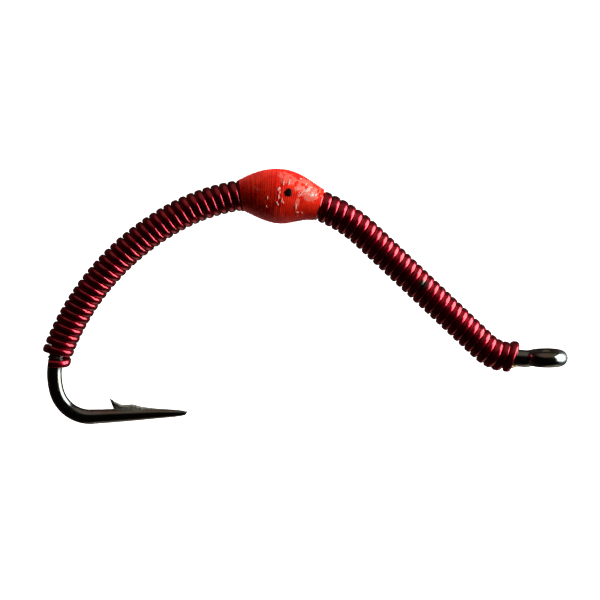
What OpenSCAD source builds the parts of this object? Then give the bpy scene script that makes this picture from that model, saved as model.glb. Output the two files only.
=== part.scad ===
// Wire-bodied worm fly on a single barbed hook with a bent shank.
// Origin at the centre of the eye, +Z up, the hook lies in the XZ plane and the point looks to +X.

/* [Hook wire] */
// Diameter of the hook wire
hook_d = 0.64; // [0.6:0.01:0.68]
// Diameter of the wire where it is formed into the eye
eye_wire_d = 0.68; // [0.62:0.01:0.7]
// Outside diameter of the eye
eye_od = 1.82; // [1.8:0.01:1.9]
// Diameter of the hole that the line is threaded through
eye_bore_d = 0.56; // [0.54:0.01:0.6]

/* [Shank] */
// Length of the neck, from the centre of the eye to the corner
neck_len = 1.66; // [1.6:0.01:2.4]
// Distance that the middle of the neck leaves the eye below the eye's own middle
neck_drop = 0.11; // [0:0.01:0.15]
// Slope of the neck, degrees above level
neck_slope = 4.9; // [0:0.1:10]
// Radius of the corner between the neck and the front shank
corner_r = 1.7; // [1.5:0.1:2.2]
// Slope of the front shank, degrees above level
front_slope = 43.6; // [40:0.1:46]
// Straight length of the front shank
front_len = 6.82; // [6.7:0.01:7.5]
// Radius of the crown, the top of the arch
crown_r = 6.56; // [6.4:0.02:7]
// Angle that the crown turns through, degrees
crown_turn = 54.4; // [52:0.1:56]
// Radius behind the crown
back_r = 8.2; // [8:0.1:9]
// Angle that the back turns through, degrees
back_turn = 17.2; // [16:0.1:19]
// Radius of the rear shank
rear_r = 11.0; // [10.9:0.1:12]
// Angle that the rear shank turns through, degrees
rear_turn = 40.5; // [40:0.1:43]

/* [Bend and point] */
// Radius where the shank runs into the bend
entry_r = 2.98; // [2.9:0.01:3.3]
// Angle of that run into the bend, degrees
entry_turn = 36; // [34:0.5:38]
// Radius of the bend itself
bend_r = 1.46; // [1.4:0.01:1.7]
// Angle of the bend itself, degrees
bend_turn = 78.3; // [74:0.1:80]
// Length of the spear, from the bend to the tip
spear_len = 4.12; // [3.8:0.02:5]
// Diameter of the spear, which is ground a little thinner than the wire
spear_d = 0.6; // [0.56:0.01:0.62]
// Length of the point, where the spear narrows to its tip
point_len = 3.4; // [3:0.1:3.6]
// Height of the barb's tip above the middle of the spear
barb_h = 0.75; // [0.6:0.01:0.9]
// Width of the barb at its root
barb_w = 0.4; // [0.3:0.02:0.44]

/* [Body wire] */
// Diameter of the wire wound round the shank
wrap_d = 0.33; // [0.32:0.001:0.33]
// Distance from one turn to the next at the head, where the turns all but touch
pitch = 0.34; // [0.335:0.001:0.35]
// How much closer the turns lie at the tail
tighten = 0.021; // [0:0.001:0.022]
// Number of whole turns
whole_turns = 73; // [68:1:73]
// Distance from the centre of the eye to the end of the wire on the neck
head_at = 1.42; // [1.35:0.01:1.5]
// How far the turns at the head lean: tops towards the eye, undersides away from it
head_lean = 0.3; // [0:0.01:0.35]
// How far the locking turn at the head rides up off the neck
head_lift = 0.12; // [0:0.01:0.2]
// Extra gap behind the locking turn at the head
head_gap = 0.09; // [0.08:0.01:0.2]
// Extra gap before the last turn at the tail
tail_gap = 0.19; // [0.12:0.01:0.22]

/* [Hump] */
// Distance along the crown to the fattest place of the hump
hump_at = 4.16; // [4:0.02:4.5]
// Length of the hump on its front side
hump_front = 1.76; // [1.7:0.01:1.9]
// Length of the hump on its rear side
hump_back = 1.58; // [1.5:0.01:1.7]
// How hollow the front slope of the hump is: 1 is a plain cosine
hump_front_power = 1.6; // [0.8:0.1:2]
// How hollow the rear slope of the hump is
hump_back_power = 0.9; // [0.8:0.1:2]
// How far the fattest place hangs to the inside of the arch
hump_sag = 0.05; // [0:0.01:0.1]
// Radius of the hump where it is fattest
hump_r = 1.17; // [1.1:0.01:1.25]
// Thickness of the clear varnish over the thread
varnish = 0.03; // [0.02:0.01:0.06]
// Diameter of the black eye dot
dot_d = 0.3; // [0.2:0.01:0.4]
// Height of the dot's centre round the hump, degrees above level
dot_lift = 15.5; // [10:0.5:20]

/* [Hidden] */
$fn = 96;

eye_r = (eye_od - eye_wire_d) / 2;

// The middle line of the hook, as stretches of [length, turn in degrees].
// A positive turn closes the hook, and a straight stretch has no turn.
function arc(radius, turn) = [radius * abs(turn) * PI / 180, turn];
route = [
    [neck_len, 0],
    arc(corner_r, neck_slope - front_slope),
    [front_len, 0],
    arc(crown_r, crown_turn),
    arc(back_r, back_turn),
    arc(rear_r, rear_turn),
    arc(entry_r, entry_turn),
    arc(bend_r, bend_turn),
    [spear_len, 0],
];
CROWN = 3;
SPEAR = 8;

// A place on the middle line is [x, z, heading], and moved() goes on from it by a length and a turn.
function moved(from, length, turn) =
    turn == 0
    ? [from.x + length * cos(from[2]), from.y + length * sin(from[2]), from[2]]
    : let (radius = length / (turn * PI / 180), to = from[2] + turn)
      [from.x + radius * (sin(to) - sin(from[2])), from.y - radius * (cos(to) - cos(from[2])), to];
function knot(i) =
    i == 0 ? [0, -neck_drop, 180 - neck_slope] : moved(knot(i - 1), route[i - 1][0], route[i - 1][1]);
knots = [for (i = [0 : len(route)]) knot(i)];

// Turns of wire that touch on the inside of a bend fan out on its outside, so the windings are
// spaced by length measured this far inside the middle line. At the corner they lean instead.
touch_r = 0.4;
corner_touch_r = 0.1;
function inside(stretch) =
    stretch[0] - (stretch[1] < 0 ? corner_touch_r : touch_r) * abs(stretch[1]) * PI / 180;
function total(list, upto) = upto == 0 ? 0 : list[upto - 1] + total(list, upto - 1);
inner = [for (stretch = route) inside(stretch)];
marks = [for (i = [0 : len(route) - 1]) total(inner, i)];
function place(at) =
    let (i = len([for (mark = marks) if (mark <= at) mark]) - 1, share = (at - marks[i]) / inner[i])
    moved(knots[i], share * route[i][0], share * route[i][1]);

// Directions at a place: along the hook, towards the inside of the arch, and towards the viewer.
function along(p) = [cos(p[2]), 0, sin(p[2])];
function inward(p) = [-sin(p[2]), 0, cos(p[2])];
near = [0, -1, 0];
function spoke(p, angle) = cos(angle) * inward(p) + sin(angle) * near;
function around(p, angle) = cos(angle) * near - sin(angle) * inward(p);
function centre(p) = [p.x, 0, p.y];

// A closed solid from rings that all have the same number of points.
module skin(rings) {
    n = len(rings[0]);
    last = len(rings) - 1;
    polyhedron(
        points = [for (ring = rings) each ring],
        faces = [
            [for (j = [0 : n - 1]) j],
            [for (j = [n - 1 : -1 : 0]) last * n + j],
            for (i = [0 : last - 1], j = [0 : n - 1])
                let (a = i * n + j, b = i * n + (j + 1) % n)
                each [[a, a + n, b], [b, a + n, b + n]],
        ]);
}

// A closed loop of rings, such as a sleeve: the last ring joins the first.
module sleeve(rings) {
    n = len(rings[0]);
    count = len(rings);
    polyhedron(
        points = [for (ring = rings) each ring],
        faces = [
            for (i = [0 : count - 1], j = [0 : n - 1])
                let (a = i * n + j, b = i * n + (j + 1) % n,
                     c = ((i + 1) % count) * n + j, d = ((i + 1) % count) * n + (j + 1) % n)
                each [[a, c, b], [b, c, d]],
        ]);
}

// One stretch of round wire between two knots. It stops just short of both knots, inside the
// ball that joins it to the next stretch.
ball_gap = 0.02;
module stretch(i, from = ball_gap) {
    turn = route[i][1];
    radius = turn == 0 ? 0 : route[i][0] / (abs(turn) * PI / 180);
    side = sign(turn);
    trim = turn == 0 ? 0 : ball_gap / radius * 180 / PI;
    translate(centre(knots[i]))
        rotate([0, -knots[i][2], 0])
            if (turn == 0)
                translate([from, 0, 0]) rotate([0, 90, 0])
                    cylinder(d = hook_d, h = route[i][0] - from - ball_gap);
            else
                translate([0, 0, side * radius]) rotate([90, 0, 0])
                    rotate_extrude(angle = side * (abs(turn) - 2 * trim), start = side * (trim - 90))
                        translate([radius, 0]) circle(d = hook_d);
}
module joint_ball(i) {
    translate(centre(knots[i])) sphere(d = 1.015 * hook_d);
}

module eye_ring() {
    rotate_extrude() translate([eye_r, 0]) circle(d = eye_wire_d);
}

// The spear lies along +X here with its tip at x = spear_len, and narrows as a slim paraboloid.
module spear() {
    steps = 8;
    full = spear_len - point_len;
    rotate([0, 90, 0])
        rotate_extrude()
            polygon([
                [0, ball_gap],
                [hook_d / 2, ball_gap],
                for (i = [0 : steps - 1])
                    [spear_d / 2 * (steps - i) / steps, full + point_len * (1 - pow(1 - i / steps, 2))],
                [0.01, spear_len],
                [0, spear_len],
            ]);
}

// A sliver cut from the top of the spear and bent up, with its tip towards the bend.
// The outlines are [distance from the hook's tip, height or half width].
module barb() {
    side_view = [[3.1, 0.15], [3.1, 0.2], [3.38, barb_h], [3.3, 0.72], [2.99, 0.5], [2.83, 0.435],
                 [2.3, 0.41], [2, 0.32], [1.5, 0.19], [2, 0.12]];
    half_width = [[3.39, 0.02], [3.1, 0.48 * barb_w], [2.83, barb_w / 2], [2.3, 0.45 * barb_w],
                  [1.5, 0.2 * barb_w]];
    intersection() {
        rotate([90, 0, 0])
            linear_extrude(height = barb_w, center = true)
                polygon([for (p = side_view) [spear_len - p.x, p.y]]);
        linear_extrude(height = 1)
            polygon([
                for (p = half_width) [spear_len - p.x, p.y],
                for (i = [len(half_width) - 1 : -1 : 0]) [spear_len - half_width[i].x, -half_width[i].y],
            ]);
    }
}

module hook() {
    color("#2d2b26")
        difference() {
            union() {
                eye_ring();
                stretch(0, from = eye_r);
                for (i = [1 : SPEAR - 1]) stretch(i);
                for (i = [1 : SPEAR]) joint_ball(i);
                translate(centre(knots[SPEAR])) rotate([0, -knots[SPEAR][2], 0]) {
                    spear();
                    barb();
                }
            }
            cylinder(d = eye_bore_d, h = 2 * eye_wire_d, center = true);
        }
}

// The winding. An angle of 0 is on the inside of the arch and 90 is on the near side, and it
// grows from the eye to the bend, which makes a right-hand helix.
head_angle = 40;
tail_angle = 111;
turns = whole_turns + (tail_angle - head_angle) / 360;
rings_per_turn = 10;
wire_sides = 6;
// The rings' corners stand clear of the shank by this much, so that the flats don't cut into it.
clear = 0.017;
coil_r = (hook_d + wrap_d) / 2 + clear;
helix_angle = atan(pitch / (2 * PI * coil_r));
function ease(x) = (1 - cos(180 * max(0, min(1, x)))) / 2;
function wound(t) =
    head_at + pitch * t - tighten * t * t / (2 * turns)
    + head_gap * ease(t) + tail_gap * ease(t - turns + 1.2);
corner_inner = marks[2] - marks[1];
function lean_at(at) = head_lean * max(0, min(1, 1 - (at - marks[1]) / corner_inner));
function lift_at(t) = head_lift * (1 - ease(t));
function wire_ring(t, radius, size, shift = 0) =
    let (angle = head_angle + 360 * t, at = wound(t) + shift,
         p = place(at + lean_at(at) * cos(angle)), out = spoke(p, angle),
         across = cos(helix_angle) * along(p) - sin(helix_angle) * around(p, angle),
         middle = centre(p) + (radius + lift_at(t)) * out)
    [for (k = [0 : wire_sides - 1])
        middle + size / 2 * (cos(k * 360 / wire_sides) * out + sin(k * 360 / wire_sides) * across)];

module body_wire() {
    steps = round(turns * rings_per_turn);
    color("#6d0a18")
        skin([for (i = [0 : steps]) wire_ring(i * turns / steps, coil_r, wrap_d)]);
}

// A thin string of set cement between two turns, from turn a to turn b.
module cement(a, b, size, shift) {
    steps = 8;
    color("#3a3630")
        skin([for (i = [0 : steps])
            wire_ring(a + (b - a) * i / steps, hook_d / 2 + 0.65 * size, size, shift)]);
}
module head_cement() {
    cement(0.25, 0.55, 0.7 * head_gap, (pitch + head_gap * 0.8) / 2);
}
module tail_cement() {
    cement(turns - 1.15, turns - 0.9, 0.6 * tail_gap, (pitch + tail_gap) / 2);
}

// The hump. s is the distance along the crown from the fattest place, positive towards the bend.
hump_sides = 24;
hump_steps = 14;
tunnel_r = hook_d / 2 + wrap_d + clear + 0.02;
edge_r = tunnel_r + 0.025;
function swell(s) =
    s < 0 ? pow(cos(90 * s / hump_front), hump_front_power) : pow(cos(90 * s / hump_back), hump_back_power);
function hump_place(s) =
    moved(knots[CROWN], hump_at + s, (hump_at + s) / crown_r * 180 / PI);
function hump_shift(s) = swell(s) * hump_sag;
function hump_ring(s, radius, shift) =
    let (p = hump_place(s))
    [for (j = [0 : hump_sides - 1])
        centre(p) + shift * inward(p) + radius * spoke(p, j * 360 / hump_sides)];
function hump_radius(s, extra) = edge_r + (hump_r - edge_r) * swell(s) + extra;
function stations(cover) =
    [for (i = [0 : hump_steps]) cover * (-hump_front + (hump_front + hump_back) * i / hump_steps)];
function outer_rings(cover, extra) =
    [for (s = stations(cover)) hump_ring(s, hump_radius(s, extra), hump_shift(s))];
function reversed(list) = [for (i = [len(list) - 1 : -1 : 0]) list[i]];

module thread_hump() {
    color("#d8261c")
        sleeve(concat(
            outer_rings(0.99, 0),
            reversed([for (s = stations(0.99)) hump_ring(s, tunnel_r, 0)])));
}

module hump_varnish() {
    gap = 0.005;
    color("#f0a8a0", 0.4)
        sleeve(concat(outer_rings(0.94, varnish + gap), reversed(outer_rings(0.94, gap))));
}

// A flat drop of black lacquer on the near side of the varnish.
dot_s = -0.25;
module eye_dot() {
    p = hump_place(dot_s);
    rise = 0.05;
    ball_r = (pow(dot_d / 2, 2) + rise * rise) / (2 * rise);
    color("#100c0c")
        translate(centre(p) + hump_shift(dot_s) * inward(p))
            rotate([0, -p[2] + 180, 0])
                rotate([90 - dot_lift, 0, 0])
                    translate([0, 0, hump_radius(dot_s, varnish + 0.01)])
                        intersection() {
                            translate([0, 0, rise - ball_r]) sphere(r = ball_r);
                            cylinder(d = 2 * dot_d, h = 2 * rise);
                        }
}

hook();
body_wire();
thread_hump();
hump_varnish();
eye_dot();
head_cement();
tail_cement();
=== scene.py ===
import bpy
import bmesh
import math
import random
from mathutils import Matrix, Vector, noise


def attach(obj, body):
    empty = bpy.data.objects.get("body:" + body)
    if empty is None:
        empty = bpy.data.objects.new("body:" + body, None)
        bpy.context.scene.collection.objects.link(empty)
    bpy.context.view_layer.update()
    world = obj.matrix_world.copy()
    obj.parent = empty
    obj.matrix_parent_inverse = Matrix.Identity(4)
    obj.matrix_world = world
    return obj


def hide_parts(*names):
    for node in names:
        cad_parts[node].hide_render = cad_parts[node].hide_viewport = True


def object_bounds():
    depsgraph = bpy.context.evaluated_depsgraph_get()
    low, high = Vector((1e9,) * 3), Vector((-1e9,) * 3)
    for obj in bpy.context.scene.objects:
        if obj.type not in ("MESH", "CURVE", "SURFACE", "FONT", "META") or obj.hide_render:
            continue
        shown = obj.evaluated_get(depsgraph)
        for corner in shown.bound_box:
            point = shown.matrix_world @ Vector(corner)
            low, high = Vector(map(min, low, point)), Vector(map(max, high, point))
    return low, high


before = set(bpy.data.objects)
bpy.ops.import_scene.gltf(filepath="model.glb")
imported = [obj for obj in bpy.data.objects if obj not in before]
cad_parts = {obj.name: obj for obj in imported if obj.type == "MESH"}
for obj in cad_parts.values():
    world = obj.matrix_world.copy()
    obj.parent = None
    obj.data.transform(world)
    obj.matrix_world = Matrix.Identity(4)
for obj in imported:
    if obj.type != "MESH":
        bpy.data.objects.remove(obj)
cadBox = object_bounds()  # the CAD model's box, before any piece is made
random.seed(21)
mm = 0.001

# the hook's middle line: lengths and radii in mm, turns and slopes in degrees
hookLine = {
    "neckDrop": 0.11, "neckSlope": 4.9, "neckLength": 1.66,
    "cornerRadius": 1.7, "frontSlope": 43.6, "frontLength": 6.82,
    "crown": (6.56, 54.4), "back": (8.2, 17.2), "rear": (11.0, 40.5),
    "entry": (2.98, 36.0), "bend": (1.46, 78.3), "spearLength": 4.12,
    "touchInside": 0.4, "cornerTouchInside": 0.1,
}


def arcOf(radius, turn):
    return (radius * math.radians(abs(turn)), turn)


stretches = [
    (hookLine["neckLength"], 0.0),
    arcOf(hookLine["cornerRadius"], hookLine["neckSlope"] - hookLine["frontSlope"]),
    (hookLine["frontLength"], 0.0),
    arcOf(*hookLine["crown"]), arcOf(*hookLine["back"]), arcOf(*hookLine["rear"]),
    arcOf(*hookLine["entry"]), arcOf(*hookLine["bend"]),
    (hookLine["spearLength"], 0.0),
]
crownIndex, spearIndex = 3, 8


def moved(start, length, turn):
    # a place on the line is (x, z, heading); go on from it by a length and a turn
    x, z, heading = start
    a = math.radians(heading)
    if turn == 0:
        return (x + length * math.cos(a), z + length * math.sin(a), heading)
    radius = length / math.radians(turn)
    b = math.radians(heading + turn)
    x += radius * (math.sin(b) - math.sin(a))
    z -= radius * (math.cos(b) - math.cos(a))
    return (x, z, heading + turn)


knots = [(0.0, -hookLine["neckDrop"], 180 - hookLine["neckSlope"])]
for length, turn in stretches:
    knots.append(moved(knots[-1], length, turn))


def innerLength(length, turn):
    # turns of wire touch on the inside of a bend, so the winding is spaced by length measured there
    inside = hookLine["cornerTouchInside" if turn < 0 else "touchInside"]
    return length - inside * math.radians(abs(turn))


innerLengths = [innerLength(length, turn) for length, turn in stretches]
marks = [sum(innerLengths[:i]) for i in range(len(stretches))]


def placeAt(at):
    i = max(k for k, mark in enumerate(marks) if mark <= at)
    share = (at - marks[i]) / innerLengths[i]
    return moved(knots[i], share * stretches[i][0], share * stretches[i][1])


def along(place):
    a = math.radians(place[2])
    return Vector((math.cos(a), 0, math.sin(a)))


def inward(place):
    a = math.radians(place[2])
    return Vector((-math.sin(a), 0, math.cos(a)))


near = Vector((0, -1, 0))


def middle(place):
    return Vector((place[0], 0, place[1]))


def spoke(place, angle):
    # 0 degrees is the inside of the arch and 90 the near side
    a = math.radians(angle)
    return math.cos(a) * inward(place) + math.sin(a) * near


def around(place, angle):
    a = math.radians(angle)
    return math.cos(a) * near - math.sin(a) * inward(place)


def ease(x):
    return (1 - math.cos(math.pi * max(0.0, min(1.0, x)))) / 2


def blunted(share, start, span, power):
    # rises quickly from nearly nothing to 1 and falls again, which rounds off both ends of a piece
    return math.sin(math.pi * (start + span * share)) ** power


def finished(bm, name, slotName, material, *nodes, sharp=40):
    # scales a mesh made in millimetres to metres and gives the piece its body and material
    bmesh.ops.recalc_face_normals(bm, faces=bm.faces[:])
    bmesh.ops.scale(bm, vec=(mm, mm, mm), verts=bm.verts[:])
    mesh = bpy.data.meshes.new(name)
    bm.to_mesh(mesh)
    bm.free()
    mesh.polygons.foreach_set("use_smooth", [True] * len(mesh.polygons))
    mesh.set_sharp_from_angle(angle=math.radians(sharp))
    piece = bpy.data.objects.new(name, mesh)
    bpy.context.scene.collection.objects.link(piece)
    mesh.materials.append(material)
    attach(piece, "root")
    if nodes:
        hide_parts(*nodes)
    return piece


def rolledTube(bm, rings, sides, cap=True, fullness=2.0):
    # a flat grid rolled up into a tube: each ring is (centre, first axis, second axis);
    # a fullness over 2 squares the round section a little
    known = set(bm.verts)
    count = len(rings)
    bmesh.ops.create_grid(bm, x_segments=sides, y_segments=count - 1, size=1, calc_uvs=True)
    fresh = [v for v in bm.verts if v not in known]
    for v in fresh:
        centre, first, second = rings[round((v.co.y + 1) / 2 * (count - 1))]
        a = math.pi * (v.co.x + 1)
        c, d = math.cos(a), math.sin(a)
        c, d = [math.copysign(abs(w) ** (2 / fullness), w) for w in (c, d)]
        v.co = centre + c * first + d * second
    seam = [v for v in fresh if v.is_boundary]
    bmesh.ops.remove_doubles(bm, verts=seam, dist=1e-5)
    if cap:
        fresh = [v for v in bm.verts if v not in known]
        rims = {e for v in fresh for e in v.link_edges if e.is_boundary}
        bmesh.ops.holes_fill(bm, edges=list(rims), sides=0)


# colours are written as sRGB hex, and this turns them into the linear values that shaders take
def colour(hexCode, alpha=1.0):
    parts = [int(hexCode[i:i + 2], 16) / 255 for i in (1, 3, 5)]
    return [p / 12.92 if p <= 0.04045 else ((p + 0.055) / 1.055) ** 2.4 for p in parts] + [alpha]


def addNode(tree, kind, settings=(), inputs=()):
    node = tree.nodes.new("ShaderNode" + kind)
    for key, value in dict(settings).items():
        setattr(node, key, value)
    for key, value in dict(inputs).items():
        if isinstance(value, bpy.types.NodeSocket):
            tree.links.new(value, node.inputs[key])
        else:
            node.inputs[key].default_value = value
    return node


def startMaterial(name):
    material = bpy.data.materials.new(name)
    material.use_nodes = True
    material.node_tree.nodes.clear()
    return material, material.node_tree


# black nickel plating over steel wire: almost black face on, olive and bronze where it catches light;
# the end of the eye is duller, and the paler colour given to it there is a painted highlight that widens its
# shine
nickelLook = {"face": "#858a8b", "worn": "#7c735e", "patch": 1.1, "smear": 0.4, "grain": 0.11, "dents": 0.004,
              "noseAndPaintedHighlight": "#c2cacc", "noseFrom": 0.2, "noseTo": 0.6, "noseRoughness": 0.36}
blackNickel, tree = startMaterial("blackNickel")
coords = addNode(tree, "TexCoord")
tone = addNode(tree, "TexNoise", inputs={
    "Vector": coords.outputs["Object"], "Scale": 1 / (nickelLook["patch"] * mm), "Detail": 3.0})
share = addNode(tree, "MapRange", inputs={"Value": tone.outputs["Fac"], "From Min": 0.35, "From Max": 0.7})
mixed = addNode(tree, "Mix", {"data_type": "RGBA"}, {
    0: share.outputs["Result"], 6: colour(nickelLook["face"]), 7: colour(nickelLook["worn"])})
smear = addNode(tree, "TexNoise", inputs={
    "Vector": coords.outputs["Object"], "Scale": 1 / (nickelLook["smear"] * mm), "Detail": 4.0})
smearRough = addNode(tree, "MapRange", inputs={"Value": smear.outputs["Fac"], "To Min": 0.04, "To Max": 0.28})
place = addNode(tree, "SeparateXYZ", inputs={"Vector": coords.outputs["Object"]})
noseAndPaintedHighlight = addNode(tree, "MapRange", inputs={
    "Value": place.outputs["X"],
    "From Min": nickelLook["noseFrom"] * mm, "From Max": nickelLook["noseTo"] * mm})
noseRough = addNode(tree, "Math", {"operation": "MULTIPLY"}, {
    0: noseAndPaintedHighlight.outputs["Result"], 1: nickelLook["noseRoughness"]})
rough = addNode(tree, "Math", {"operation": "MAXIMUM"}, {
    0: smearRough.outputs["Result"], 1: noseRough.outputs[0]})
# the pale colour mixed in at the end of the eye is a painted highlight
platedWithPaintedHighlight = addNode(tree, "Mix", {"data_type": "RGBA"}, {
    0: noseAndPaintedHighlight.outputs["Result"], 6: mixed.outputs[2], 7: colour(nickelLook["noseAndPaintedHighlight"])})
fine = addNode(tree, "TexNoise", inputs={
    "Vector": coords.outputs["Object"], "Scale": 1 / (nickelLook["grain"] * mm), "Detail": 2.0})
relief = addNode(tree, "Bump", inputs={
    "Height": fine.outputs["Fac"], "Distance": nickelLook["dents"] * mm, "Strength": 0.3})
shader = addNode(tree, "BsdfPrincipled", inputs={
    "Base Color": platedWithPaintedHighlight.outputs[2], "Metallic": 1.0, "Roughness": rough.outputs[0],
    "Normal": relief.outputs["Normal"]})
addNode(tree, "OutputMaterial", inputs={"Surface": shader.outputs["BSDF"]})

# wine-red enamel on copper: the soft base gives the crimson glow, the hard clear coat the pink streak;
# one turn on the front is scuffed to a dull grey-brown
enamelLook = {"deep": "#a80824", "light": "#cc1236", "patch": 0.7, "roughness": 0.33, "coatRoughness": 0.04,
              "scuff": "#4a4540", "scuffAt": (-5.29, -0.55, 3.21), "scuffReach": 0.3, "scuffCore": 0.12}
redEnamel, tree = startMaterial("redEnamelledCopper")
coords = addNode(tree, "TexCoord")
tone = addNode(tree, "TexNoise", inputs={
    "Vector": coords.outputs["Object"], "Scale": 1 / (enamelLook["patch"] * mm), "Detail": 3.0})
share = addNode(tree, "MapRange", inputs={"Value": tone.outputs["Fac"], "From Min": 0.3, "From Max": 0.7})
mixed = addNode(tree, "Mix", {"data_type": "RGBA"}, {
    0: share.outputs["Result"], 6: colour(enamelLook["deep"]), 7: colour(enamelLook["light"])})
gap = addNode(tree, "VectorMath", {"operation": "DISTANCE"}, {
    0: coords.outputs["Object"], 1: Vector(enamelLook["scuffAt"]) * mm})
scuff = addNode(tree, "MapRange", inputs={
    "Value": gap.outputs["Value"],
    "From Min": enamelLook["scuffReach"] * mm, "From Max": enamelLook["scuffCore"] * mm})
worn = addNode(tree, "Mix", {"data_type": "RGBA"}, {
    0: scuff.outputs["Result"], 6: mixed.outputs[2], 7: colour(enamelLook["scuff"])})
shader = addNode(tree, "BsdfPrincipled", inputs={
    "Base Color": worn.outputs[2], "Metallic": 1.0, "Roughness": enamelLook["roughness"],
    "Coat Weight": 1.0, "Coat Roughness": enamelLook["coatRoughness"], "Coat IOR": 1.5})
addNode(tree, "OutputMaterial", inputs={"Surface": shader.outputs["BSDF"]})

# bare copper where the wire was snipped off: a pale warm fleck beside the eye
copperLook = {"face": "#e8c6a0", "roughness": 0.3}
bareCopper, tree = startMaterial("bareCopper")
shader = addNode(tree, "BsdfPrincipled", inputs={
    "Base Color": colour(copperLook["face"]), "Metallic": 0.6, "Roughness": copperLook["roughness"]})
addNode(tree, "OutputMaterial", inputs={"Surface": shader.outputs["BSDF"]})

# waxed tying thread: a saturated orange-red that stays dark where little light falls
threadLook = {"dark": "#d00e0a", "bright": "#f02c14", "patch": 0.45, "roughness": 0.55, "shine": 0.12}
waxedThread, tree = startMaterial("waxedThread")
coords = addNode(tree, "TexCoord")
tone = addNode(tree, "TexNoise", inputs={
    "Vector": coords.outputs["Object"], "Scale": 1 / (threadLook["patch"] * mm), "Detail": 4.0})
share = addNode(tree, "MapRange", inputs={"Value": tone.outputs["Fac"], "From Min": 0.3, "From Max": 0.65})
mixed = addNode(tree, "Mix", {"data_type": "RGBA"}, {
    0: share.outputs["Result"], 6: colour(threadLook["dark"]), 7: colour(threadLook["bright"])})
shader = addNode(tree, "BsdfPrincipled", inputs={
    "Base Color": mixed.outputs[2], "Roughness": threadLook["roughness"],
    "Specular IOR Level": threadLook["shine"]})
addNode(tree, "OutputMaterial", inputs={"Surface": shader.outputs["BSDF"]})

# clear varnish dried a little milky over the eye end of the hump: its pale pink colour is partly real
# milkiness and partly a painted sheen
varnishLook = {"filmWithPaintedSheen": "#ffb09c", "filmAlpha": 0.13, "flakeWithPaintedHighlight": "#ffd6cc", "flakeAlpha": 0.62}
varnishWithPaintedSheen, tree = startMaterial("driedVarnishWithPaintedSheen")
shader = addNode(tree, "BsdfPrincipled", inputs={
    "Base Color": colour(varnishLook["filmWithPaintedSheen"]), "Roughness": 0.25, "Alpha": varnishLook["filmAlpha"],
    "Coat Weight": 1.0, "Coat Roughness": 0.1})
addNode(tree, "OutputMaterial", inputs={"Surface": shader.outputs["BSDF"]})

# the same varnish where it dried thick and cracked white; the white is partly a painted highlight
flakedVarnishWithPaintedHighlight, tree = startMaterial("flakedVarnishWithPaintedHighlight")
shader = addNode(tree, "BsdfPrincipled", inputs={
    "Base Color": colour(varnishLook["flakeWithPaintedHighlight"]), "Roughness": 0.3, "Alpha": varnishLook["flakeAlpha"],
    "Coat Weight": 1.0, "Coat Roughness": 0.1})
addNode(tree, "OutputMaterial", inputs={"Surface": shader.outputs["BSDF"]})

# bare steel where the barb was cut and bent up: a dull, lighter grey than the plating
cutLook = {"dark": "#5c5c53", "light": "#b0b0a4", "grit": 0.09, "dents": 0.012}
cutSteel, tree = startMaterial("cutSteel")
coords = addNode(tree, "TexCoord")
grit = addNode(tree, "TexNoise", inputs={
    "Vector": coords.outputs["Object"], "Scale": 1 / (cutLook["grit"] * mm), "Detail": 4.0})
share = addNode(tree, "MapRange", inputs={"Value": grit.outputs["Fac"], "From Min": 0.35, "From Max": 0.7})
mixed = addNode(tree, "Mix", {"data_type": "RGBA"}, {
    0: share.outputs["Result"], 6: colour(cutLook["dark"]), 7: colour(cutLook["light"])})
relief = addNode(tree, "Bump", inputs={
    "Height": grit.outputs["Fac"], "Distance": cutLook["dents"] * mm, "Strength": 0.7})
shader = addNode(tree, "BsdfPrincipled", inputs={
    "Base Color": mixed.outputs[2], "Metallic": 0.5, "Roughness": 0.45, "Normal": relief.outputs["Normal"]})
addNode(tree, "OutputMaterial", inputs={"Surface": shader.outputs["BSDF"]})

# black lacquer: a dull brown-black drop
blackLacquer, tree = startMaterial("blackLacquer")
shader = addNode(tree, "BsdfPrincipled", inputs={
    "Base Color": colour("#0c0303"), "Roughness": 0.6, "Specular IOR Level": 0.15})
addNode(tree, "OutputMaterial", inputs={"Surface": shader.outputs["BSDF"]})

# set cement: dark grey, with sparkles from its clear skin
setCement, tree = startMaterial("setCement")
shader = addNode(tree, "BsdfPrincipled", inputs={
    "Base Color": colour("#2c2826"), "Roughness": 0.2, "Coat Weight": 1.0})
addNode(tree, "OutputMaterial", inputs={"Surface": shader.outputs["BSDF"]})
print("materials made")

# the hook: one length of wire from the cut end of its eye to its point
hookWire = {
    "wire": 0.64, "sides": 40, "step": 0.06,
    "eyeWire": 0.69, "eyeRadius": 0.565, "eyeStart": -163.0, "eyeLeave": 140.0, "eyeSteps": 66,
    "neckJoin": 1.0, "neckPull": 0.45, "neckSteps": 12, "neckWire": 0.74, "neckThick": 1.3, "neckThin": 1.6,
    "spearWire": 0.6, "spearBlend": 0.5, "spearSteps": 90, "pointLength": 3.4, "pointPower": 0.36,
    "sink": 0.035, "sinkLength": 1.6, "bevel": 0.16, "bevelPower": 0.6, "tipRise": 0.03, "tipShort": 0.004,
}


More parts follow.
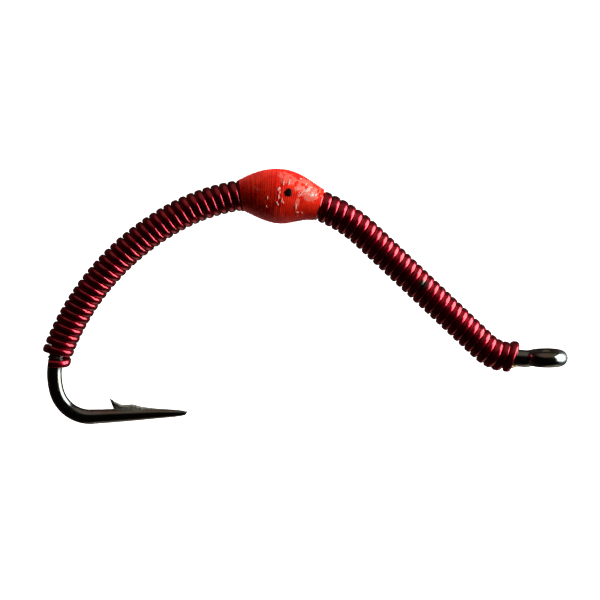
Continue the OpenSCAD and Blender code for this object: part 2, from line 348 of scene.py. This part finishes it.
def hookStations():
    # each is (point, way of the first axis, half size along it, half size across it)
    stations = []
    half = hookWire["eyeWire"] / 2
    r = hookWire["eyeRadius"]
    down = Vector((0, 0, -1))
    eyeTurn = hookWire["eyeLeave"] - hookWire["eyeStart"]
    for i in range(hookWire["eyeSteps"] + 1):
        a = math.radians(hookWire["eyeStart"] + eyeTurn * i / hookWire["eyeSteps"])
        stations.append((Vector((r * math.cos(a), r * math.sin(a), 0)), down, half, half))
    # an easy S from the far side of the ring to the neck
    leave = math.radians(hookWire["eyeLeave"])
    start = Vector((r * math.cos(leave), r * math.sin(leave), 0))
    startWay = Vector((-math.sin(leave), math.cos(leave), 0))
    joinPlace = moved(knots[0], hookWire["neckJoin"], 0)
    end = middle(joinPlace)
    endWay = along(joinPlace)
    pull = (end - start).length * hookWire["neckPull"]
    for i in range(1, hookWire["neckSteps"]):
        t = i / hookWire["neckSteps"]
        b = [(1 - t) ** 3, 3 * t * (1 - t) ** 2, 3 * t * t * (1 - t), t ** 3]
        point = b[0] * start + b[1] * (start + pull * startWay) + b[2] * (end - pull * endWay) + b[3] * end
        size = half + (hookWire["neckWire"] / 2 - half) * t
        stations.append((point, down, size, size))
    for i, (length, turn) in enumerate(stretches[:-1]):
        first = hookWire["neckJoin"] if i == 0 else 0.0
        count = max(2, round((length - first) / hookWire["step"]))
        for k in range(count):
            d = first + (length - first) * k / count
            place = moved(knots[i], d, turn * d / length)
            half = hookWire["wire"] / 2
            if i == 0:
                thin = ease((d - hookWire["neckThick"]) / (hookWire["neckThin"] - hookWire["neckThick"]))
                half = (hookWire["neckWire"] + (hookWire["wire"] - hookWire["neckWire"]) * thin) / 2
            stations.append((middle(place), inward(place), half, half))
    # the spear: ground thinner towards the tip, which ends a little above its middle
    spear = hookLine["spearLength"]
    for k in range(hookWire["spearSteps"] + 1):
        d = spear * k / hookWire["spearSteps"]
        left = max(spear - d, hookWire["tipShort"])
        place = moved(knots[spearIndex], d, 0)
        full = hookWire["spearWire"] / 2
        blend = min(1.0, d / hookWire["spearBlend"])
        size = min(1.0, left / hookWire["pointLength"]) ** hookWire["pointPower"] * full
        size = (1 - blend) * hookWire["wire"] / 2 + blend * size
        lift = -hookWire["sink"] * ease(1 - left / hookWire["sinkLength"])
        if left < hookWire["bevel"]:  # the very tip is ground off from below
            f = left / hookWire["bevel"]
            size *= f ** hookWire["bevelPower"]
            lift = -hookWire["sink"] * f + hookWire["tipRise"] * (1 - f)
        stations.append((middle(place) + lift * inward(place), inward(place), size, size))
    return stations


def ringsAlong(stations):
    rings = []
    for i, (point, ref, first, second) in enumerate(stations):
        ahead = stations[min(i + 1, len(stations) - 1)][0]
        behind = stations[max(i - 1, 0)][0]
        way = (ahead - behind).normalized()
        a = (ref - way * ref.dot(way)).normalized()
        rings.append((point, a * first, way.cross(a) * second))
    return rings


bm = bmesh.new()
bm.loops.layers.uv.new("UVMap")
rolledTube(bm, ringsAlong(hookStations()), hookWire["sides"])
finished(bm, "hookSteel", "hook_metal", blackNickel, "hook")
print("hook made")

# the winding: one wire round the shank, its turns a little closer together towards the bend
winding = {
    "wire": 0.338, "hook": 0.64, "clear": 0.004, "pitch": 0.34, "tighten": 0.021, "wholeTurns": 73,
    "headAngle": 40.0, "headAt": 1.5, "headLean": 0.24, "headBelly": 0.1, "headLift": 0.09, "headGap": 0.01,
    "tailAngle": 111.0, "tailGap": 0.17, "tailEase": 0.85, "stepsPerTurn": 44, "sides": 18,
    "height": 0.334, "width": 0.345, "widest": 0.43, "widenFrom": 0.55, "widenOver": 0.5, "fullness": 2.6,
}
turns = winding["wholeTurns"] + (winding["tailAngle"] - winding["headAngle"]) / 360
coilRadius = (winding["hook"] + winding["wire"]) / 2 + winding["clear"]
helixAngle = math.atan(winding["pitch"] / (2 * math.pi * coilRadius))
cornerInner = marks[2] - marks[1]


def woundTo(t):
    # the length along the shank that t turns take up
    lastTurn = ease((t - turns + winding["tailEase"]) / winding["tailEase"])
    return (winding["headAt"] + winding["pitch"] * t - winding["tighten"] * t * t / (2 * turns)
            + winding["headGap"] * ease(t) + winding["tailGap"] * lastTurn)


def wirePlace(t, radius=coilRadius, shift=0.0):
    # the middle of the wire t turns from the head, with the way out from the hook and the way across
    angle = winding["headAngle"] + 360 * t
    at = woundTo(t) + shift
    share = max(0.0, min(1.0, 1 - (at - marks[1]) / cornerInner))
    a = math.radians(angle)
    belly = winding["headBelly"] * ease(t) * max(0.0, math.sin(a))
    place = placeAt(at + share * (winding["headLean"] * math.cos(a) - belly))
    out = spoke(place, angle)
    across = math.cos(helixAngle) * along(place) - math.sin(helixAngle) * around(place, angle)
    return middle(place) + (radius + winding["headLift"] * (1 - ease(t))) * out, out, across


def wireWidth(t):
    # each turn is as wide as the space to its nearer neighbour, so that the turns touch on every bend
    here = wirePlace(t)[0]
    spaces = [(wirePlace(t + step)[0] - here).length for step in (-1, 1) if 0 <= t + step <= turns]
    inner = ease((min(t, turns - t) - winding["widenFrom"]) / winding["widenOver"])
    return min(min(spaces), winding["width"] + (winding["widest"] - winding["width"]) * inner)


rings = []
count = round(turns * winding["stepsPerTurn"])
for i in range(count + 1):
    t = i * turns / count
    point, out, across = wirePlace(t)
    rings.append((point, winding["height"] / 2 * out, wireWidth(t) / 2 * across))
bm = bmesh.new()
bm.loops.layers.uv.new("UVMap")
rolledTube(bm, rings, winding["sides"], fullness=winding["fullness"])
finished(bm, "windingWire", "wire_enamel", redEnamel, "body_wire", sharp=60)

# the snipped end of the wire, bare copper pressed flat along the neck
snip = {
    "angle": 44.0, "swing": 14.0, "from": 1.72, "to": 1.2, "lift": 0.56, "drop": 0.2,
    "height": 0.11, "width": 0.14, "ends": (0.06, 0.9, 0.5), "lumps": 0.25, "lumpGrain": 7.0,
    "steps": 12, "sides": 14,
}
rings = []
for i in range(snip["steps"] + 1):
    f = i / snip["steps"]
    place = placeAt(snip["from"] + (snip["to"] - snip["from"]) * f)
    angle = snip["angle"] - snip["swing"] * f
    out = spoke(place, angle)
    lump = 1 + snip["lumps"] * noise.noise(Vector((f * snip["lumpGrain"], 0, 0)))
    size = blunted(f, *snip["ends"]) * lump
    rings.append((middle(place) + (snip["lift"] - snip["drop"] * f) * out, snip["height"] / 2 * size * out,
                  snip["width"] / 2 * size * around(place, angle)))
bm = bmesh.new()
bm.loops.layers.uv.new("UVMap")
rolledTube(bm, rings, snip["sides"])
finished(bm, "snippedEnd", "wire_enamel", bareCopper)
print("winding made")

# the hump: a solid core under tying thread, with varnish and a dot of lacquer over it
hump = {
    "at": 4.16, "front": 1.76, "back": 1.58, "frontPower": 1.6, "backPower": 0.9, "sag": 0.05,
    "edge": 0.7, "radius": 1.17, "start": -1.64, "end": 1.68,
    "ridge": 0.006, "ridgeStep": 0.19, "ridgeFrom": -0.5, "ridgeOver": 0.9,
    "coreUnder": 0.045, "coreEnd": 0.6, "coreSteps": 90, "coreSides": 96,
}


def swell(s):
    # s runs along the crown from the fattest place, positive towards the bend
    span, power = (hump["front"], hump["frontPower"]) if s < 0 else (hump["back"], hump["backPower"])
    return max(0.0, math.cos(math.pi / 2 * max(-1.0, min(1.0, s / span)))) ** power


def onHump(s, angle, lift=0.0):
    d = hump["at"] + s
    place = moved(knots[crownIndex], d, math.degrees(d / hookLine["crown"][0]))
    radius = hump["edge"] + (hump["radius"] - hump["edge"]) * swell(s) + lift
    out = spoke(place, angle)
    return middle(place) + hump["sag"] * swell(s) * inward(place) + radius * out, out, along(place)


def ridgeAt(s):
    # the thread was laid in bunches, which stand up as rounded ridges towards the bend
    strength = ease((s - hump["ridgeFrom"]) / hump["ridgeOver"])
    return hump["ridge"] * strength * (0.5 + 0.5 * math.cos(2 * math.pi * s / hump["ridgeStep"]))


bm = bmesh.new()
bm.loops.layers.uv.new("UVMap")
rings = []
steps = hump["coreSteps"]
for i in range(-1, steps + 2):
    k = max(0, min(steps, i))
    s = hump["start"] + (hump["end"] - hump["start"]) * k / steps
    point, out, way = onHump(s, 0)
    centre = point - out * (out.dot(point - onHump(s, 180)[0]) / 2)
    size = (point - centre).length - hump["coreUnder"] + ridgeAt(s)
    if i != k:  # one ring more at each end turns the core in towards the shank
        size = hump["coreEnd"]
    rings.append((centre, size * out, size * near))
rolledTube(bm, rings, hump["coreSides"])
finished(bm, "humpCore", "thread", waxedThread, "thread_hump")

# the thread itself, laid side by side from the eye end to the bend end
tyingThread = {
    "width": 0.118, "height": 0.018, "step": 0.082, "sunk": 0.02, "stepsPerLap": 72, "sides": 8,
    "changesPerLap": 3, "wander": 0.008, "rise": 0.003, "swelling": 0.1,
}
bm = bmesh.new()
bm.loops.layers.uv.new("UVMap")
first, last = hump["start"], hump["end"]
laps = round((last - first) / tyingThread["step"])
perLap, changes = tyingThread["stepsPerLap"], tyingThread["changesPerLap"]
rings = []
jitter = [random.uniform(-1, 1) for _ in range(laps * changes + 4)]
for i in range(laps * perLap + 1):
    lap = i / perLap
    k = int(lap * changes)
    mix = jitter[k] + (jitter[k + 1] - jitter[k]) * (lap * changes - k)
    s = first + (last - first) * lap / laps + tyingThread["wander"] * mix
    lift = ridgeAt(s) - tyingThread["sunk"] + tyingThread["rise"] * mix
    point, out, way = onHump(s, 360 * lap, lift)
    size = 1 + tyingThread["swelling"] * mix
    rings.append((point, tyingThread["height"] / 2 * size * out, tyingThread["width"] / 2 * way))
rolledTube(bm, rings, tyingThread["sides"])
finished(bm, "humpThread", "thread", waxedThread, sharp=80)
print("hump made")

# varnish: a thin layer in ragged patches, most of it at the eye end, its pink colour partly a painted sheen
# each patch: place along and round the hump, and its reach along and round
filmWithPaintedSheen = {
    "steps": 150, "sides": 220, "length": 3.0, "above": 0.004, "thickness": 0.008,
    "leastCover": -1.5, "ragged": 1.6, "grain": 3.2, "speckled": 0.5, "speckleGrain": 9.0,
    "wave": 0.01, "waveMean": 0.6, "waveGrain": 6.0,
    "patches": [(-1.1, 126, 0.5, 30), (-0.2, 138, 0.3, 18), (-0.72, 92, 0.08, 24)],
}
bm = bmesh.new()
bm.loops.layers.uv.new("UVMap")
rings = []
for i in range(filmWithPaintedSheen["steps"] + 1):
    s = hump["start"] + filmWithPaintedSheen["length"] * i / filmWithPaintedSheen["steps"]
    point, out, way = onHump(s, 0)
    centre = point - out * (out.dot(point - onHump(s, 180)[0]) / 2)
    size = (point - centre).length + filmWithPaintedSheen["above"] + ridgeAt(s)
    rings.append((centre, size * out, size * near))
rolledTube(bm, rings, filmWithPaintedSheen["sides"], cap=False)
gone = []
origin = onHump(0, 0)[0]
uv = bm.loops.layers.uv.active
for face in bm.faces:
    p = face.calc_center_median()
    angle, s = [sum(loop[uv].uv[k] for loop in face.loops) / len(face.loops) for k in (0, 1)]
    angle, s = 360 * angle, hump["start"] + filmWithPaintedSheen["length"] * s
    cover = max(1 - ((s - a) / c) ** 2 - ((angle - b) / d) ** 2 for a, b, c, d in filmWithPaintedSheen["patches"])
    rag = filmWithPaintedSheen["ragged"] * noise.fractal(p * filmWithPaintedSheen["grain"], 0.6, 2.0, 4)
    speckle = filmWithPaintedSheen["speckled"] * noise.noise(p * filmWithPaintedSheen["speckleGrain"])
    if max(cover, filmWithPaintedSheen["leastCover"]) + rag + speckle < 0:
        gone.append(face)
bmesh.ops.delete(bm, geom=gone, context="FACES")
loose = [v for v in bm.verts if not v.link_faces]
bmesh.ops.delete(bm, geom=loose, context="VERTS")
for v in bm.verts:
    if not v.is_boundary:
        wave = filmWithPaintedSheen["wave"] * (filmWithPaintedSheen["waveMean"] + noise.noise(v.co * filmWithPaintedSheen["waveGrain"]))
        v.co = v.co + wave * (v.co - origin).normalized()
bmesh.ops.recalc_face_normals(bm, faces=bm.faces[:])
bmesh.ops.solidify(bm, geom=bm.faces[:], thickness=filmWithPaintedSheen["thickness"])
finished(bm, "humpVarnishWithPaintedSheen", "varnish", varnishWithPaintedSheen, "hump_varnish")

# flakes where the varnish dried thick, their white partly a painted highlight: place along and round the
# hump, length, width and slant
flakesWithPaintedHighlights = [
    (0.11, 110, 0.15, 0.1, 30), (0.06, 103, 0.12, 0.05, 10), (0.08, 94, 0.24, 0.04, 0),
    (0.1, 80, 0.2, 0.045, -28), (-0.06, 87, 0.18, 0.045, 15), (-0.13, 84, 0.13, 0.035, -32),
    (0.55, 90, 0.14, 0.035, 5), (0.58, 70, 0.12, 0.03, -10), (-0.72, 76, 0.3, 0.05, -12),
    (-0.82, 62, 0.12, 0.1, 65), (-1.05, 60, 0.07, 0.07, 0), (-0.8, 108, 0.3, 0.05, 25),
    (-1.0, 124, 0.26, 0.14, 40), (-1.22, 116, 0.24, 0.12, 25), (-1.1, 136, 0.22, 0.08, 50),
    (-1.38, 122, 0.14, 0.1, 30), (-0.66, 150, 0.12, 0.09, 50), (-0.9, 140, 0.14, 0.05, 35),
    (-0.25, 128, 0.3, 0.04, 4), (-0.05, 124, 0.22, 0.04, -3),
]
flakeWithPaintedHighlight = {"above": 0.012, "rise": 0.018, "ragged": 0.28, "grain": 1.3, "apart": 50, "rounds": 3}
bm = bmesh.new()
for s, angle, size, width, slant in flakesWithPaintedHighlights:
    point, out, way = onHump(s, angle, flakeWithPaintedHighlight["above"] + ridgeAt(s))
    side = out.cross(way)
    a = math.radians(slant)
    longWay = math.cos(a) * side + math.sin(a) * way
    axes = (longWay * size / 2, longWay.cross(out) * width / 2, out * flakeWithPaintedHighlight["rise"])
    turn = Matrix(axes).transposed().to_4x4()
    turn.translation = point
    made = bmesh.ops.create_icosphere(bm, subdivisions=flakeWithPaintedHighlight["rounds"], radius=1.0)
    own = Vector((s * flakeWithPaintedHighlight["apart"], angle, 0))  # no two flakes read the same part of the noise
    for v in made["verts"]:
        v.co += flakeWithPaintedHighlight["ragged"] * noise.noise_vector(v.co * flakeWithPaintedHighlight["grain"] + own)
    bmesh.ops.transform(bm, matrix=turn, verts=made["verts"])
finished(bm, "varnishFlakesWithPaintedHighlights", "varnish", flakedVarnishWithPaintedHighlight)

# the dot: a flat drop of black lacquer with an uneven rim
# each lobe of the rim: how many there are round it, how deep, and where they start
dot = {
    "s": -0.29, "angle": 105.5, "above": 0.012, "width": 0.3, "height": 0.35, "rise": 0.03,
    "lobes": [(3, 0.07, 0.6), (5, 0.05, 2.0)],
}
bm = bmesh.new()
made = bmesh.ops.create_uvsphere(bm, u_segments=32, v_segments=16, radius=1.0)
point, out, way = onHump(dot["s"], dot["angle"], dot["above"])
for v in made["verts"]:
    a = math.atan2(v.co.y, v.co.x)
    grow = 1 + sum(depth * math.sin(count * a + begin) for count, depth, begin in dot["lobes"])
    v.co.x *= grow * dot["width"] / 2
    v.co.y *= grow * dot["height"] / 2
    v.co.z *= dot["rise"]
side = out.cross(way)
turn = Matrix((way, side, out)).transposed().to_4x4()
turn.translation = point
bmesh.ops.transform(bm, matrix=turn, verts=made["verts"])
finished(bm, "lacquerDot", "lacquer", blackLacquer, "eye_dot")
print("varnish and dot made")

# the barb: a sliver cut from the top of the spear and bent up, rippled on the side towards the point
barb = {
    # distance from the hook's tip, height above the middle of the spear
    "side": [(3.12, 0.12), (3.11, 0.2), (3.2, 0.42), (3.29, 0.66), (3.335, 0.79), (3.22, 0.7), (3.08, 0.59),
             (2.95, 0.52), (2.86, 0.475), (2.74, 0.462), (2.62, 0.45), (2.5, 0.448), (2.38, 0.45),
             (2.27, 0.432), (2.15, 0.385), (2.0, 0.342), (1.8, 0.3), (1.6, 0.262), (1.47, 0.238),
             (1.2, 0.2), (0.95, 0.162), (0.75, 0.128), (1.0, 0.06), (2.0, 0.1)],
    # distance from the hook's tip, half width there
    "half": [(3.34, 0.012), (3.22, 0.07), (3.1, 0.15), (2.95, 0.185), (2.8, 0.2), (2.3, 0.19), (1.9, 0.15),
             (1.4, 0.11), (0.9, 0.06), (0.7, 0.04)],
    "cuts": 5, "roundFrom": 0.15, "roundOver": 0.2, "roundBy": 0.3,
    "ripple": 0.007, "rippleGrain": 48, "rippleFrom": 2.1, "rippleTo": 2.95, "grit": 0.004, "gritGrain": 14,
}


def tableAt(table, x):
    for (xa, ya), (xb, yb) in zip(table, table[1:]):
        if xb <= x <= xa:
            return ya + (yb - ya) * (xa - x) / (xa - xb)
    return table[0][1] if x > table[0][0] else table[-1][1]


bm = bmesh.new()
corners = [bm.verts.new((hookLine["spearLength"] - d, 0, h)) for d, h in barb["side"]]
flat = bm.faces.new(corners)
made = bmesh.ops.extrude_face_region(bm, geom=[flat])
farSide = [g for g in made["geom"] if isinstance(g, bmesh.types.BMVert)]
bmesh.ops.translate(bm, vec=(0, 1, 0), verts=farSide)
crossways = [e for e in bm.edges if abs(e.verts[0].co.y - e.verts[1].co.y) > 0.5]
bmesh.ops.subdivide_edges(bm, edges=crossways, cuts=barb["cuts"])
for v in bm.verts:
    share = v.co.y * 2 - 1
    left = hookLine["spearLength"] - v.co.x
    half = tableAt(barb["half"], left)
    v.co.y = share * half
    over = v.co.z - barb["roundFrom"]
    if over > 0:
        v.co.z -= barb["roundBy"] * half * share * share * min(1.0, over / barb["roundOver"])
        rippled = barb["rippleFrom"] < left < barb["rippleTo"]
        ripple = barb["ripple"] * math.sin(left * barb["rippleGrain"]) if rippled else 0
        v.co.z += ripple + barb["grit"] * noise.noise(v.co * barb["gritGrain"])
place = knots[spearIndex]
turn = Matrix((along(place), Vector((0, 1, 0)), inward(place))).transposed().to_4x4()
turn.translation = middle(place)
bmesh.ops.transform(bm, matrix=turn, verts=bm.verts[:])
bmesh.ops.triangulate(bm, faces=[f for f in bm.faces if len(f.verts) > 4])
finished(bm, "hookBarb", "hook_metal", cutSteel, sharp=30)
print("barb made")

# set cement in the gaps beside the outermost turns; from and to are counted in turns from the eye end
beads = {
    "headCement": {"node": "head_cement", "from": 0.16, "to": 0.62, "size": 0.1,
                   "shift": (winding["pitch"] + winding["headGap"] * 0.8) / 2},
    "tailCement": {"node": "tail_cement", "from": turns - 1.16, "to": turns - 0.88, "size": 0.08,
                   "shift": (winding["pitch"] + winding["tailGap"]) / 2},
}
beadShape = {"steps": 24, "sides": 14, "ends": (0.04, 0.92, 0.6), "rise": 0.75, "lumps": 0.35, "lumpGrain": 9}
for name, bead in beads.items():
    bm = bmesh.new()
    bm.loops.layers.uv.new("UVMap")
    rings = []
    for i in range(beadShape["steps"] + 1):
        f = i / beadShape["steps"]
        t = bead["from"] + (bead["to"] - bead["from"]) * f
        radius = winding["hook"] / 2 + beadShape["rise"] * bead["size"]
        point, out, across = wirePlace(t, radius, bead["shift"])
        lump = 1 + beadShape["lumps"] * noise.noise(point * beadShape["lumpGrain"])
        size = bead["size"] * blunted(f, *beadShape["ends"]) * lump
        rings.append((point, size * out, size * across))
    rolledTube(bm, rings, beadShape["sides"])
    finished(bm, name, "cement", setCement, bead["node"])
print("cement made")

# the camera faces the near side from a little above
view = {"centre": (-10.4975, 0.0, 2.4835), "elevation": 7.0, "lens": 200.0, "frameWidth": 25.5}
camData = bpy.data.cameras.new("camera")
camData.lens = view["lens"]
camData.clip_start, camData.clip_end = 0.005, 20
camera = bpy.data.objects.new("camera", camData)
bpy.context.scene.collection.objects.link(camera)
e = math.radians(view["elevation"])
back = Vector((0, -math.cos(e), math.sin(e)))
distance = view["frameWidth"] * mm * view["lens"] / camData.sensor_width
camera.location = Vector(view["centre"]) * mm + back * distance
camera.rotation_euler = (-back).to_track_quat("-Z", "Y").to_euler()
bpy.context.scene.camera = camera

# four soft lamps: each way is from the middle of the view to the lamp, and only the window shows as a shine
lights = {
    "window": {"way": (0.955, -0.1, 0.25), "distance": 0.15, "width": 0.14, "height": 0.17, "radiance": 6.2,
               "tint": "#f8fffb", "shine": True},
    "fill": {"way": (0.95, -0.28, 0.25), "distance": 0.2, "width": 0.14, "height": 0.14, "radiance": 8.0,
             "tint": "#fff8f4", "shine": False},
    "top": {"way": (-0.1, 0.5, 0.85), "distance": 0.2, "width": 0.25, "height": 0.2, "radiance": 2.2,
            "tint": "#ffffff", "shine": False},
    "below": {"way": (0.1, 0.55, -0.83), "distance": 0.2, "width": 0.25, "height": 0.2, "radiance": 1.6,
              "tint": "#ffffff", "shine": False},
}
for name, light in lights.items():
    data = bpy.data.lights.new(name, "AREA")
    data.shape = "RECTANGLE"
    data.size, data.size_y = light["width"], light["height"]
    data.energy = light["radiance"] * math.pi * light["width"] * light["height"]
    data.color = colour(light["tint"])[:3]
    lamp = bpy.data.objects.new(name, data)
    bpy.context.scene.collection.objects.link(lamp)
    way = Vector(light["way"]).normalized()
    lamp.location = Vector(view["centre"]) * mm + way * light["distance"]
    lamp.rotation_euler = way.to_track_quat("Z", "Y").to_euler()
    lamp.visible_glossy = light["shine"]

# the room round it: warm on the left, greenish on the right, darker in front than behind
# each glow: its way, the cosines where it fades out and is full, and its strength
room = {
    "left": "#b8908a", "right": "#b4b4a0", "sideReach": 0.6,
    "frontAir": 0.012, "backAir": 0.1, "airFrom": -0.25, "airTo": 0.5, "diffuseBoost": 3.2,
    "glows": [((0.25, 0.3, -0.92), 0.9, 0.98, 1.1), ((0.0, -0.25, 0.95), 0.72, 0.92, 0.6)],
}
world = bpy.data.worlds.new("studio")
bpy.context.scene.world = world
world.use_nodes = True
tree = world.node_tree
tree.nodes.clear()
coords = addNode(tree, "TexCoord")
split = addNode(tree, "SeparateXYZ", inputs={"Vector": coords.outputs["Generated"]})
path = addNode(tree, "LightPath")
behind = addNode(tree, "MapRange", inputs={
    "Value": split.outputs["Y"], "From Min": room["airFrom"], "From Max": room["airTo"],
    "To Min": room["frontAir"], "To Max": room["backAir"]})
boost = addNode(tree, "MapRange", inputs={
    "Value": path.outputs["Is Diffuse Ray"], "To Min": 1.0, "To Max": room["diffuseBoost"]})
lit = addNode(tree, "Math", {"operation": "MULTIPLY"}, {
    0: behind.outputs["Result"], 1: boost.outputs["Result"]})
sumUp = lit
for way, low, high, strength in room["glows"]:
    facing = addNode(tree, "VectorMath", {"operation": "DOT_PRODUCT"}, {
        0: coords.outputs["Generated"], 1: Vector(way).normalized()})
    glow = addNode(tree, "MapRange", inputs={
        "Value": facing.outputs["Value"], "From Min": low, "From Max": high, "To Max": strength})
    sumUp = addNode(tree, "Math", {"operation": "ADD"}, {0: sumUp.outputs[0], 1: glow.outputs["Result"]})
side = addNode(tree, "MapRange", inputs={
    "Value": split.outputs["X"], "From Min": -room["sideReach"], "From Max": room["sideReach"]})
tint = addNode(tree, "Mix", {"data_type": "RGBA"}, {
    0: side.outputs["Result"], 6: colour(room["left"]), 7: colour(room["right"])})
air = addNode(tree, "Background", inputs={"Color": tint.outputs[2], "Strength": sumUp.outputs[0]})
paper = addNode(tree, "Background", inputs={"Color": colour("#ffffff"), "Strength": 1.0})
both = addNode(tree, "MixShader", inputs={
    0: path.outputs["Is Camera Ray"], 1: air.outputs[0], 2: paper.outputs[0]})
addNode(tree, "OutputWorld", inputs={"Surface": both.outputs[0]})
bpy.context.scene.view_settings.view_transform = "Standard"

floorLook = {"drop": 6.0, "radius": 2.0, "glow": 0.97}
bm = bmesh.new()
bmesh.ops.create_circle(bm, cap_ends=True, segments=64, radius=floorLook["radius"])
bmesh.ops.translate(bm, vec=(0, 0, cadBox[0].z - floorLook["drop"] * mm), verts=bm.verts[:])
floorMesh = bpy.data.meshes.new("floor")
bm.to_mesh(floorMesh)
bm.free()
floor = bpy.data.objects.new("floor", floorMesh)
bpy.context.scene.collection.objects.link(floor)
floor.visible_glossy = False
floor.visible_diffuse = False
paleFloor, tree = startMaterial("paleFloor")
shader = addNode(tree, "BsdfPrincipled", inputs={
    "Base Color": colour("#f4f4f4"), "Roughness": 0.9, "Specular IOR Level": 0.0,
    "Emission Color": colour("#ffffff"), "Emission Strength": floorLook["glow"]})
addNode(tree, "OutputMaterial", inputs={"Surface": shader.outputs["BSDF"]})
floorMesh.materials.append(paleFloor)

print("scene made")
